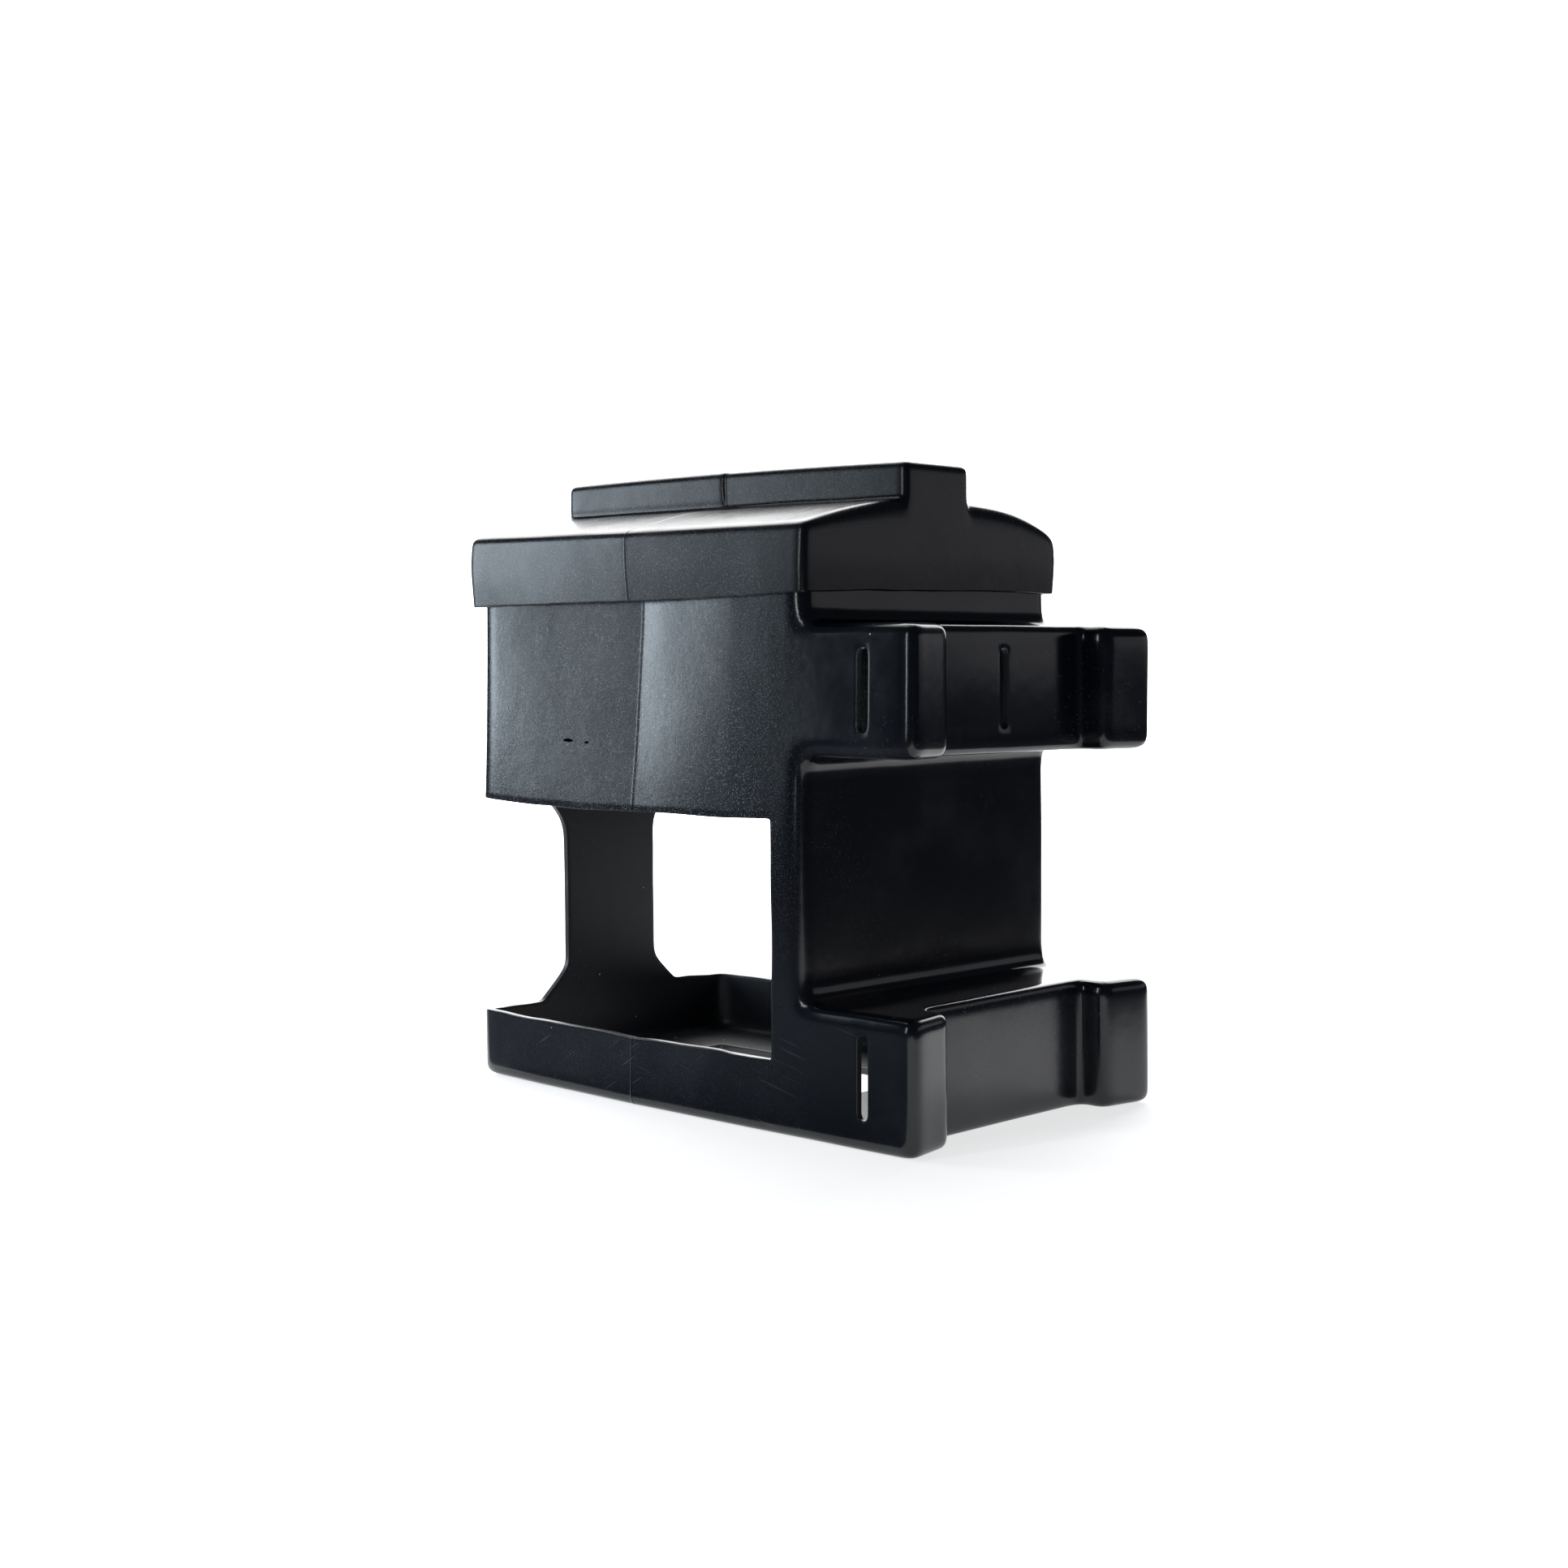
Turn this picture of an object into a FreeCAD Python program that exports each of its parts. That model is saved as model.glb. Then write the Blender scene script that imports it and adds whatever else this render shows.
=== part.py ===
import FreeCAD, Part
import math
import os
from FreeCAD import Vector

os.makedirs("parts", exist_ok=True)

# Post-mounted feed and mineral station: a hollow moulded housing and a lift-off cap lid.
# All sizes are in mm. While it is built, X runs across, +Y to the back (the post side), +Z up, and Y = 0 is
# the parting plane of the mould. Both nodes are moved at the end so that the origin lies on the ground
# under the middle of the whole object's box.

# Skin and mould draft
WALL = 4.8                    # one moulded skin everywhere
FRONT_DRAFT = 0.03            # sideways taper per mm in front of the parting plane
REAR_DRAFT = 0.01             # the same behind it
OVERRUN = 20.0                # how far a cutting tool runs past what it cuts

# Housing, main box
HOUSING_HALF_WIDTH = 133.5    # at the parting plane
FRONT_REACH = 173.0           # parting plane to the front face
REAR_REACH = 163.0            # parting plane to the recessed back wall
FRONT_CORNER_R = 12.0
FOOT_R = 6.8                  # rounding all round the bottom

# Saddle blocks on the back
LOWER_BLOCK_TOP = 88.0
UPPER_BLOCK_BOTTOM = 249.4
UPPER_BLOCK_TOP = 336.2
CHANNEL_DEPTH_FROM_WALL = 63.0    # back wall to the floor of the post channel
PRONG_OUTER_REACH = 95.2          # back wall to the outer edge of a prong's end
PRONG_INNER_REACH = 86.2          # the end slants in towards the channel
CHANNEL_HALF_WIDTH = 84.0
PRONG_R = 7.0
CHANNEL_R = 8.0
BLOCK_EDGE_R = 8.0                # ends of the blocks, seen from the side
RECESS_R = 13.0                   # where the blocks run into the back wall
SIDE_EDGE_R = 5.4                 # from the side faces round to the blocks, recess and back wall

# Openings cut by hand round the two front corners
OPENING_BOTTOM = 49.0
OPENING_TOP = 206.5
OPENING_REAR = 135.0              # parting plane to the rear edge
PILLAR_HALF_WIDTH = 45.0
TOP_CHAMFER_X = 20.0
TOP_CHAMFER_Z = 21.0
FOOT_CHAMFER_X = 26.0
FOOT_CHAMFER_Z = 24.0

# Cut-out in the tray floor
FLOOR_HOLE_HALF_WIDTH = 68.0
FLOOR_HOLE_FRONT = -110.0
FLOOR_HOLE_REAR = 100.0

# Strap slots
SLOT_WIDTH = 9.0
SLOT_LENGTH = 55.0                # passes a 50 mm ratchet strap
SLOT_BEHIND_WALL = 51.0           # back wall to the slots' centre line
UPPER_SLOT_Z = 293.2
LOWER_SLOT_Z = 47.7

# Lid
LID_SIDE_GAP = 1.5                # skirt to housing, all round
LID_SEAT_GAP = 0.3                # roof to the housing's rim, lid on
LID_SKIRT_BOTTOM = 356.0
LID_SHOULDER = 401.5              # where the skirt ends and the roof starts
ROOF_TOP = 422.7                  # the roof at the foot of the ridge
ROOF_SWELL = 1.35                 # 1 is a flat slope, more is a fuller roof
ROOF_POINTS = 6                   # points on each curved slope
RIDGE_HALF_WIDTH = 34.5
RIDGE_TOP = 450.0
LID_CORNER_R = 11.0
LID_TOP_R = 5.0
RIDGE_R = 6.0
RIDGE_FOOT_R = 3.0

# Worked out from the sizes above
CHANNEL_FLOOR_Y = REAR_REACH + CHANNEL_DEPTH_FROM_WALL
PRONG_OUTER_Y = REAR_REACH + PRONG_OUTER_REACH
PRONG_INNER_Y = REAR_REACH + PRONG_INNER_REACH
SLOT_Y = REAR_REACH + SLOT_BEHIND_WALL
LID_OVERHANG = WALL + LID_SIDE_GAP
LID_HALF_WIDTH = HOUSING_HALF_WIDTH + LID_OVERHANG
LID_FRONT_Y = -FRONT_REACH - LID_OVERHANG
LID_REAR_Y = REAR_REACH + LID_OVERHANG


def drafted_half_width(half_width, y):
    """Half width at y of a shape that tapers away from the parting plane."""
    draft = FRONT_DRAFT if y < 0 else REAR_DRAFT
    return half_width - draft * abs(y)


def mirrored(right_side):
    """A closed outline from its right half, listed from bottom to top: (x, y, radius)."""
    left_side = [(-x, y, r) for x, y, r in reversed(right_side)]
    return right_side + left_side


def inset_outline(outline, depth):
    """Move every side of an anticlockwise outline inwards, and change its radii to suit."""
    count = len(outline)
    moved = []
    for i in range(count):
        ax, ay, _ = outline[i - 1]
        bx, by, radius = outline[i]
        cx, cy, _ = outline[(i + 1) % count]
        in_length = math.hypot(bx - ax, by - ay)
        out_length = math.hypot(cx - bx, cy - by)
        ux, uy = (bx - ax) / in_length, (by - ay) / in_length
        vx, vy = (cx - bx) / out_length, (cy - by) / out_length
        turn = ux * vy - uy * vx
        along = depth * (1 - ux * vx - uy * vy) / turn if abs(turn) > 1e-9 else 0.0
        x = bx - uy * depth - ux * along
        y = by + ux * depth - uy * along
        new_radius = radius - depth if turn > 0 else radius + depth
        moved.append((x, y, max(new_radius, 0.0) if radius > 0 else 0.0))
    return moved


def rounded_face(outline, place):
    """A face from (u, v, radius) corners; place(u, v) gives the point in space."""
    count = len(outline)
    starts, middles, ends = [], [], []
    for i in range(count):
        ax, ay, _ = outline[i - 1]
        bx, by, radius = outline[i]
        cx, cy, _ = outline[(i + 1) % count]
        in_length = math.hypot(bx - ax, by - ay)
        out_length = math.hypot(cx - bx, cy - by)
        ux, uy = (ax - bx) / in_length, (ay - by) / in_length
        vx, vy = (cx - bx) / out_length, (cy - by) / out_length
        half_angle = math.acos(max(-1.0, min(1.0, ux * vx + uy * vy))) / 2
        if radius <= 0:
            starts.append(place(bx, by))
            middles.append(None)
            ends.append(place(bx, by))
            continue
        back = radius / math.tan(half_angle)
        wx, wy = ux + vx, uy + vy
        w_length = math.hypot(wx, wy)
        reach = radius / math.sin(half_angle) - radius
        starts.append(place(bx + ux * back, by + uy * back))
        middles.append(place(bx + wx / w_length * reach, by + wy / w_length * reach))
        ends.append(place(bx + vx * back, by + vy * back))
    edges = []
    for i in range(count):
        if middles[i] is not None:
            edges.append(Part.Arc(starts[i], middles[i], ends[i]).toShape())
        edges.append(Part.makeLine(ends[i], starts[(i + 1) % count]))
    return Part.Face(Part.Wire(edges))


def prism_up(outline, bottom, top):
    """A plan outline (x, y) raised from bottom to top."""
    face = rounded_face(outline, lambda u, v: Vector(u, v, bottom))
    return face.extrude(Vector(0, 0, top - bottom))


def prism_across(outline, half_width):
    """A side outline (y, z) carried across from one side to the other."""
    face = rounded_face(outline, lambda u, v: Vector(-half_width, u, v))
    return face.extrude(Vector(2 * half_width, 0, 0))


def prism_back(outline, front, rear):
    """An end outline (x, z) carried from front to rear."""
    face = rounded_face(outline, lambda u, v: Vector(u, front, v))
    return face.extrude(Vector(0, rear - front, 0))


def box(low, high):
    """A box between two corners."""
    size = [high[i] - low[i] for i in range(3)]
    return Part.makeBox(size[0], size[1], size[2], Vector(*low))


def roof_underside(x):
    """Height of the lid's roof above x, under the skin."""
    span = LID_HALF_WIDTH - RIDGE_HALF_WIDTH
    share = max(abs(x) - RIDGE_HALF_WIDTH, 0.0) / span
    return ROOF_TOP - (ROOF_TOP - LID_SHOULDER) * share ** ROOF_SWELL - WALL * 1.05


RIM_TOP = roof_underside(HOUSING_HALF_WIDTH) - LID_SEAT_GAP


def housing_plan():
    """The housing from above: box, prongs and post channel."""
    front = drafted_half_width(HOUSING_HALF_WIDTH, -FRONT_REACH)
    rear = drafted_half_width(HOUSING_HALF_WIDTH, PRONG_OUTER_Y)
    return mirrored([
        (front, -FRONT_REACH, FRONT_CORNER_R),
        (HOUSING_HALF_WIDTH, 0.0, 0.0),
        (rear, PRONG_OUTER_Y, PRONG_R),
        (CHANNEL_HALF_WIDTH, PRONG_INNER_Y, PRONG_R),
        (CHANNEL_HALF_WIDTH, CHANNEL_FLOOR_Y, CHANNEL_R),
    ])


def housing_side():
    """The housing from the side: front, foot, both blocks and the recess between them."""
    top = RIM_TOP + OVERRUN
    return [
        (-FRONT_REACH, 0.0, 0.0),
        (PRONG_OUTER_Y, 0.0, 0.0),
        (PRONG_OUTER_Y, LOWER_BLOCK_TOP, BLOCK_EDGE_R),
        (REAR_REACH, LOWER_BLOCK_TOP, RECESS_R),
        (REAR_REACH, UPPER_BLOCK_BOTTOM, RECESS_R),
        (PRONG_OUTER_Y, UPPER_BLOCK_BOTTOM, BLOCK_EDGE_R),
        (PRONG_OUTER_Y, UPPER_BLOCK_TOP, BLOCK_EDGE_R),
        (REAR_REACH, UPPER_BLOCK_TOP, RECESS_R),
        (REAR_REACH, top, 0.0),
        (-FRONT_REACH, top, 0.0),
    ]


def housing_form(depth):
    """The housing as a solid, with its surface moved inwards by depth."""
    plan = prism_up(inset_outline(housing_plan(), depth), depth, RIM_TOP + OVERRUN)
    foot_edges = [edge for edge in plan.Edges if edge.BoundBox.ZMax < depth + 0.001]
    plan = plan.makeFillet(FOOT_R - depth, foot_edges)
    side = prism_across(inset_outline(housing_side(), depth), HOUSING_HALF_WIDTH)
    return plan.common(side)


def round_side_edges(form):
    """Round the edges between the side faces and the blocks, the recess and the back wall."""
    edges = []
    for edge in form.Edges:
        bounds = edge.BoundBox
        along_side = bounds.XLength < SIDE_EDGE_R
        behind = bounds.YMin > REAR_REACH - 0.1
        outermost = min(abs(bounds.XMin), abs(bounds.XMax)) > HOUSING_HALF_WIDTH - SIDE_EDGE_R
        if along_side and behind and outermost and bounds.ZMin > FOOT_R:
            edges.append(edge)
    return form.makeFillet(SIDE_EDGE_R, edges)


def corner_opening():
    """The cutter for the opening round the right front corner."""
    past_side = HOUSING_HALF_WIDTH + OVERRUN
    front_face = [
        (PILLAR_HALF_WIDTH + FOOT_CHAMFER_X, OPENING_BOTTOM, 0.0),
        (past_side, OPENING_BOTTOM, 0.0),
        (past_side, OPENING_TOP, 0.0),
        (PILLAR_HALF_WIDTH + TOP_CHAMFER_X, OPENING_TOP, 0.0),
        (PILLAR_HALF_WIDTH, OPENING_TOP - TOP_CHAMFER_Z, 0.0),
        (PILLAR_HALF_WIDTH, OPENING_BOTTOM + FOOT_CHAMFER_Z, 0.0),
    ]
    return prism_back(front_face, -FRONT_REACH - OVERRUN, OPENING_REAR)


def slot(x, y, z, along_x):
    """A round-ended upright slot cutter through the skin, centred at x, y, z."""
    r = SLOT_WIDTH / 2
    half = SLOT_LENGTH / 2
    outline = [(-r, -half, r), (r, -half, r), (r, half, r), (-r, half, r)]
    outline = [(u, v, radius * 0.999) for u, v, radius in outline]
    if along_x:
        face = rounded_face(outline, lambda u, v: Vector(-x, y + u, z + v))
        return face.extrude(Vector(2 * x, 0, 0))
    face = rounded_face(outline, lambda u, v: Vector(x + u, y, z + v))
    return face.extrude(Vector(0, 2 * WALL, 0))


def housing():
    """Hollow housing with every opening cut."""
    shell = round_side_edges(housing_form(0.0)).cut(housing_form(WALL))
    wide = HOUSING_HALF_WIDTH + OVERRUN
    above = box((-wide, -FRONT_REACH - OVERRUN, RIM_TOP), (wide, PRONG_OUTER_Y, RIM_TOP + 2 * OVERRUN))
    right = corner_opening()
    left = right.mirror(Vector(0, 0, 0), Vector(1, 0, 0))
    floor_hole = box((-FLOOR_HOLE_HALF_WIDTH, FLOOR_HOLE_FRONT, -OVERRUN),
                     (FLOOR_HOLE_HALF_WIDTH, FLOOR_HOLE_REAR, WALL + OVERRUN / 2))
    upper_slots = slot(wide, SLOT_Y, UPPER_SLOT_Z, True)
    lower_slots = slot(wide, SLOT_Y, LOWER_SLOT_Z, True)
    channel_slot = slot(0.0, CHANNEL_FLOOR_Y - 1.5 * WALL, UPPER_SLOT_Z, False)
    return shell.cut([above, right, left, floor_hole, upper_slots, lower_slots, channel_slot])


def lid_plan():
    """The lid from above."""
    front = drafted_half_width(LID_HALF_WIDTH, LID_FRONT_Y)
    rear = drafted_half_width(LID_HALF_WIDTH, LID_REAR_Y)
    return mirrored([
        (front, LID_FRONT_Y, LID_CORNER_R),
        (LID_HALF_WIDTH, 0.0, 0.0),
        (rear, LID_REAR_Y, LID_CORNER_R),
    ])


def lid_end():
    """The lid from the end: skirt, curved roof and ridge."""
    span = LID_HALF_WIDTH - RIDGE_HALF_WIDTH
    slope = []
    for i in range(1, ROOF_POINTS):
        share = 1 - i / ROOF_POINTS
        height = ROOF_TOP - (ROOF_TOP - LID_SHOULDER) * share ** ROOF_SWELL
        slope.append((RIDGE_HALF_WIDTH + span * share, height, 0.0))
    return mirrored([
        (LID_HALF_WIDTH, LID_SKIRT_BOTTOM - OVERRUN, 0.0),
        (LID_HALF_WIDTH, LID_SHOULDER, LID_TOP_R),
        *slope,
        (RIDGE_HALF_WIDTH, ROOF_TOP, RIDGE_FOOT_R),
        (RIDGE_HALF_WIDTH, RIDGE_TOP, RIDGE_R),
    ])


def lid_form(depth):
    """The lid as a solid, with its surface moved inwards by depth."""
    plan = prism_up(inset_outline(lid_plan(), depth), LID_SKIRT_BOTTOM - OVERRUN, RIDGE_TOP)
    end = prism_back(inset_outline(lid_end(), depth), LID_FRONT_Y, LID_REAR_Y)
    return plan.common(end)


def lid():
    """Hollow lid, open below."""
    shell = lid_form(0.0).cut(lid_form(WALL))
    wide = LID_HALF_WIDTH + OVERRUN
    below = box((-wide, LID_FRONT_Y - OVERRUN, LID_SKIRT_BOTTOM - 2 * OVERRUN),
                (wide, LID_REAR_Y + OVERRUN, LID_SKIRT_BOTTOM))
    return shell.cut(below)


nodes = {"housing": housing(), "lid": lid()}
whole = Part.makeCompound(list(nodes.values())).BoundBox
for name, shape in nodes.items():
    shape.translate(Vector(0, -whole.Center.y, 0))
    solids = shape.Solids
    print(name, "valid" if shape.isValid() else "INVALID", len(solids), "solid", round(shape.Volume / 1000), "cm3")
    solids[0].exportStep(f"parts/{name}.step")
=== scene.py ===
import math

import bpy
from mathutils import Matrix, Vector, noise


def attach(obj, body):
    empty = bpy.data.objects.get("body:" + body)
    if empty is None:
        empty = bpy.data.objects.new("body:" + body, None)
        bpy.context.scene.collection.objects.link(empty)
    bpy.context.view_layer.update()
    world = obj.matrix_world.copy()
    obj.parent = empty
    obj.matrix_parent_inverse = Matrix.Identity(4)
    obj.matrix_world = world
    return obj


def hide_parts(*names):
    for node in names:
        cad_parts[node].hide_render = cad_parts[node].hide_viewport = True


# The post-mounted stable station: a hollow moulded housing and a loose cap lid, both in black polyethylene.
# Metres in the scene; the shape functions below work in millimetres in the mould's own frame, where y = 0 is
# the parting plane, the front is towards -y and the saddle blocks towards +y.
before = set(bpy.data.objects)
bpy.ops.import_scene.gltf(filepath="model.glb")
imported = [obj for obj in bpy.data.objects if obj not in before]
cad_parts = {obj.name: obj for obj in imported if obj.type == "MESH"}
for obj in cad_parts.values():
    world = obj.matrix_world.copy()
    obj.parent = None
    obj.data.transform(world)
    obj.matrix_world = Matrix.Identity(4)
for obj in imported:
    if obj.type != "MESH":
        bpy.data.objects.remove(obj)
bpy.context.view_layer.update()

SHIFT = 38.74            # mould frame y minus scene y, mm
WALL = 4.8

# Housing
SIDE = 133.5             # half width at the parting plane
FRONT = 173.0
REAR = 163.0
BLOCK_LOW = 88.0
BLOCK_HIGH = (249.4, 336.2)
CHANNEL_Y = 226.0
TIP_OUTER = 257.1
TIP_INNER = 248.1
CHANNEL_HALF = 84.0
RIM = 397.6
CUT_LOW = 49.0
CUT_HIGH = 206.5
CUT_REAR = 135.0
PILLAR_HALF = 45.0
SLOT_HALF = 4.75
SLOT_Y = (209.5, 218.5)
LOW_SLOT_Z = (20.2, 75.2)
HIGH_SLOT_Z = (265.7, 320.7)
HOLE_HALF = 68.0
HOLE_Y = (-110.0, 100.0)
TIP_ROUND = 16.0         # how far the prongs' rounding reaches back from their tips

# Lid
LID_SIDE = 139.8
LID_FRONT = 179.3
LID_REAR = 169.3
SKIRT = 356.0
SHOULDER = 401.5
ROOF = 422.7
RIDGE_HALF = 34.5
RIDGE_TOP = 450.0
RIDGE_ROUND = 9.5
SHOULDER_ROUND = (8.0, 13.0)    # depth of the rounding under the roof's edge: right side, left side


def ramp(value, points):
    """Piecewise linear value from (position, value) points."""
    if value <= points[0][0]:
        return points[0][1]
    for (a, va), (b, vb) in zip(points, points[1:]):
        if value <= b:
            return va + (vb - va) * (value - a) / (b - a)
    return points[-1][1]


def wander(seed, position, size, scale):
    """Smooth random offset along a line: position and scale in mm, size the largest offset."""
    return size * noise.noise(Vector((position / scale, seed * 7.31, seed * 1.7)))


def draft(y):
    """How much narrower the moulding is at y than at the parting plane."""
    return 0.03 * abs(y) if y < 0 else 0.01 * abs(y)


def cage_mesh(name, counts, filled, opened, place):
    """A closed cage of quads: an outer and an inner skin round the filled cells, joined at every opened face.

    counts: number of levels along each axis. filled(i, j, k): the cell is inside the form. opened(axis, side,
    i, j, k): that boundary face is cut away. place(skin, i, j, k): position in mm of a grid point."""
    nx, ny, nz = (c - 1 for c in counts)
    corners = {
        0: ((0, 0, 0), (0, 1, 0), (0, 1, 1), (0, 0, 1)),
        1: ((0, 0, 0), (0, 0, 1), (1, 0, 1), (1, 0, 0)),
        2: ((0, 0, 0), (1, 0, 0), (1, 1, 0), (0, 1, 0)),
    }
    quads = []
    for i in range(nx):
        for j in range(ny):
            for k in range(nz):
                if not filled(i, j, k):
                    continue
                for axis in range(3):
                    for side in (0, 1):
                        step = [0, 0, 0]
                        step[axis] = 1 if side else -1
                        a, b, c = i + step[0], j + step[1], k + step[2]
                        inside = 0 <= a < nx and 0 <= b < ny and 0 <= c < nz
                        if inside and filled(a, b, c):
                            continue
                        if opened(axis, side, i, j, k):
                            continue
                        base = [i, j, k]
                        base[axis] += side
                        quad = [tuple(base[n] + d[n] for n in range(3)) for d in corners[axis]]
                        quads.append(quad if side else quad[::-1])
    index, points, faces = {}, [], []

    def point(skin, key):
        if (skin, key) not in index:
            index[skin, key] = len(points)
            points.append(place(skin, *key))
        return index[skin, key]

    used = {}
    finishes = []            # 0 outside, 1 inside, 2 cut through the wall
    for quad in quads:
        faces.append([point(0, key) for key in quad])
        faces.append([point(1, key) for key in reversed(quad)])
        finishes += [0, 1]
        for n in range(4):
            used[quad[n], quad[(n + 1) % 4]] = True
    rims = []
    for a, b in used:
        if (b, a) not in used:
            faces.append([point(0, b), point(0, a), point(1, a), point(1, b)])
            finishes.append(2)
            rims.append({point(0, a), point(0, b)})
            rims.append({point(1, a), point(1, b)})
    mesh = bpy.data.meshes.new(name)
    mesh.from_pydata([Vector((x, y - SHIFT, z)) / 1000 for x, y, z in points], [], faces)
    mesh.polygons.foreach_set("material_index", finishes)
    crease = mesh.attributes.new("crease_edge", "FLOAT", "EDGE")
    rim_keys = {tuple(sorted(r)) for r in rims}
    for edge in mesh.edges:
        key = tuple(sorted(edge.vertices))
        crease.data[edge.index].value = 1.0 if key in rim_keys else 0.0
    return mesh


def skinned(name, mesh, levels):
    """The cage subdivided into a smooth moulding, with its cut edges just broken."""
    obj = bpy.data.objects.new(name, mesh)
    bpy.context.scene.collection.objects.link(obj)
    smooth = obj.modifiers.new("smooth moulding", "SUBSURF")
    smooth.levels = levels
    smooth.render_levels = levels
    smooth.boundary_smooth = "ALL"
    edge = obj.modifiers.new("broken cut edges", "BEVEL")
    edge.width = 0.00045
    edge.segments = 2
    edge.limit_method = "ANGLE"
    edge.angle_limit = math.radians(42)
    edge.use_clamp_overlap = True
    edge.harden_normals = False
    mesh.shade_smooth()
    return obj


# Housing levels. Each list runs from one side of the form to the other.
half_x = [SLOT_HALF, 19.0, 32.0, PILLAR_HALF, 57.0, 64.0, HOLE_HALF, CHANNEL_HALF, 97.0, 109.0, 120.0, SIDE]
HX = [-x for x in reversed(half_x)] + half_x
HY = [-FRONT, -152.0, -131.0, HOLE_Y[0], -106.0, -88.0, -66.0, -44.0, -22.0, -2.0, -0.6, 0.0, 0.6, 2.0, 22.0,
      44.0, 66.0, 84.0, 96.0, HOLE_Y[1], 116.0, 131.5, CUT_REAR, 146.0, REAR, 181.0, 197.0, *SLOT_Y,
      CHANNEL_Y, 240.0, 256.0]
HZ = [0.0, 12.0, LOW_SLOT_Z[0], 27.0, 38.0, CUT_LOW, 52.5, 59.0, 68.4, LOW_SLOT_Z[1], BLOCK_LOW, 110.0, 130.0,
      150.0, 168.0, 186.0, 203.0, CUT_HIGH, 228.0, BLOCK_HIGH[0], HIGH_SLOT_Z[0], 272.7, 286.0, 300.0, 313.7,
      HIGH_SLOT_Z[1], BLOCK_HIGH[1], 357.5, 378.0, RIM]
NX, NY, NZ = len(HX), len(HY), len(HZ)
J_CUT = HY.index(CUT_REAR)
J_REAR = HY.index(REAR)
J_CHANNEL = HY.index(CHANNEL_Y)
K_TRAY = HZ.index(CUT_LOW)
K_HOOD = HZ.index(CUT_HIGH)
K_LOW = HZ.index(BLOCK_LOW)
K_HIGH = [HZ.index(height) for height in BLOCK_HIGH]
I_CHANNEL = (HX.index(-CHANNEL_HALF), HX.index(CHANNEL_HALF))


def housing_filled(i, j, k):
    if j < J_REAR:
        return True
    if not (k < K_LOW or K_HIGH[0] <= k < K_HIGH[1]):
        return False
    return j < J_CHANNEL or i < I_CHANNEL[0] or i >= I_CHANNEL[1]


def housing_opened(axis, side, i, j, k):
    x = (HX[i] + HX[i + 1]) / 2
    y = (HY[j] + HY[j + 1]) / 2
    z = (HZ[k] + HZ[k + 1]) / 2
    in_low_slot = LOW_SLOT_Z[0] < z < LOW_SLOT_Z[1]
    in_high_slot = HIGH_SLOT_Z[0] < z < HIGH_SLOT_Z[1]
    if axis == 2 and side == 1 and k == NZ - 2:
        return True
    if CUT_LOW < z < CUT_HIGH:
        if axis == 0 and y < CUT_REAR:
            return True
        if axis == 1 and side == 0 and abs(x) > PILLAR_HALF:
            return True
    if axis == 0 and SLOT_Y[0] < y < SLOT_Y[1] and (in_low_slot or in_high_slot):
        return abs(x) > CHANNEL_HALF + 16
    if axis == 1 and side == 1 and abs(x) < SLOT_HALF and in_high_slot:
        return True
    return axis == 2 and side == 0 and k == 0 and abs(x) < HOLE_HALF and HOLE_Y[0] < y < HOLE_Y[1]


# (height, half width)
PILLAR = [(12, 45.0), (49, 71.0), (73, 45.0), (186, 45.0), (206.5, 65.0), (250, 45.0)]


# How far the rounding of the side edges reaches in from the side: (y, reach)
EDGE_ROUND = [(-173, 21.0), (-100, 14.0), (110, 12.0), (163, 15.0), (210, 12.0), (250, 14.5)]


def pillar_half(side, z):
    """Half width of the front pillar, with its uneven hand-cut edge."""
    base = ramp(z, PILLAR)
    if side > 0:
        return base + wander(1, z, 1.2, 35)
    return base + wander(2, z, 1.2, 35) + 1.2


def housing_height(j, k, inner):
    in_blocks = j >= J_REAR
    if k == 0:
        return inner
    if k == 1:
        return 12.0 + inner * 0.6
    if k == K_LOW:
        return BLOCK_LOW - (inner if in_blocks else 0)
    if k == K_HIGH[0]:
        return BLOCK_HIGH[0] + (inner if in_blocks else 0)
    if k == K_HIGH[1]:
        return BLOCK_HIGH[1] - (inner if in_blocks else 0)
    return HZ[k]


def housing_length(x, j, inner):
    if j <= 1:
        return HY[j] + inner
    if j == J_REAR:
        return REAR - inner
    if j == J_CHANNEL and x <= CHANNEL_HALF:
        return CHANNEL_Y - inner
    if j < NY - 2:
        return HY[j]
    across = min(max((x - CHANNEL_HALF) / (SIDE - CHANNEL_HALF), 0), 1)
    tip = TIP_INNER + (TIP_OUTER - TIP_INNER) * across
    return tip - inner if j == NY - 1 else tip - TIP_ROUND - 0.5 * inner


def housing_across(side, x, i, j, y, z, inner):
    """Distance from the middle of the level at x, which is on the given side of the middle."""
    full = SIDE - draft(y) - inner
    fit = (SIDE - draft(y)) / SIDE
    if i in (0, NX - 1):
        return full
    if i in (1, NX - 2):
        x = full - ramp(y, EDGE_ROUND)
    elif x == CHANNEL_HALF and j >= J_CHANNEL:
        x = CHANNEL_HALF + inner
    else:
        x *= fit
    if j > 0 or not 12 < z < 250:
        return x
    edge = pillar_half(side, z)
    if x <= PILLAR_HALF + 0.5:
        return x * edge / (PILLAR_HALF * fit)
    share = (x - PILLAR_HALF * fit) / (full - PILLAR_HALF * fit)
    return edge + (full - edge) * share


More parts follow.
